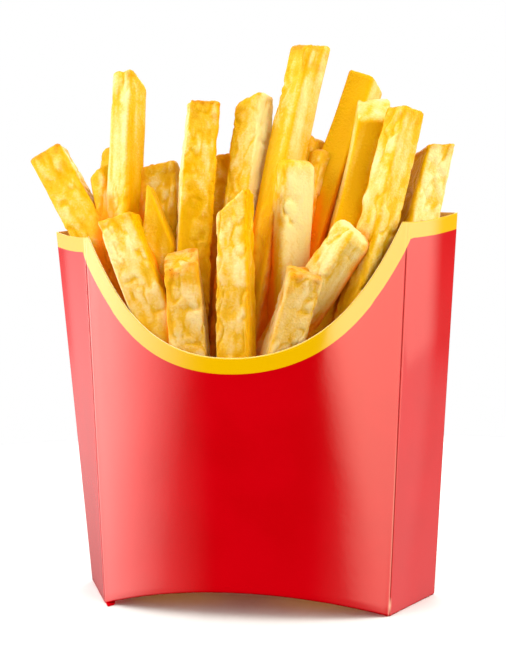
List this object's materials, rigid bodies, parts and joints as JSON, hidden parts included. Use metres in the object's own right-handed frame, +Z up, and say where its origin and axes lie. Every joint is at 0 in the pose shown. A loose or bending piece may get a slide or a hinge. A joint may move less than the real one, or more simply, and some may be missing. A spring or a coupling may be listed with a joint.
{
  "type": "french fries in a carton",
  "caption": "Uneven heap of french fries standing in a folded paperboard carton with a scooped front, an arched back, slanting sides and an arched base.",
  "frame": {"origin": "middle of the foot of the whole object's box, on the surface that the carton stands on", "axes": "+Z up towards the tips of the fries, +X across the carton to the right as its scooped front is seen, +Y from the scooped front to the arched back"},
  "size_m": [0.1366, 0.0446, 0.1697],
  "materials": {
    "printed_board": "clay-coated paperboard with a glossy red print and a yellow band along the rim",
    "fried_potato": "golden fried potato, slightly oily, paler ridges and browned ends"
  },
  "bodies": {
    "root": {"carton": "printed_board", "fries": "fried_potato"}
  },
  "joints": []
}
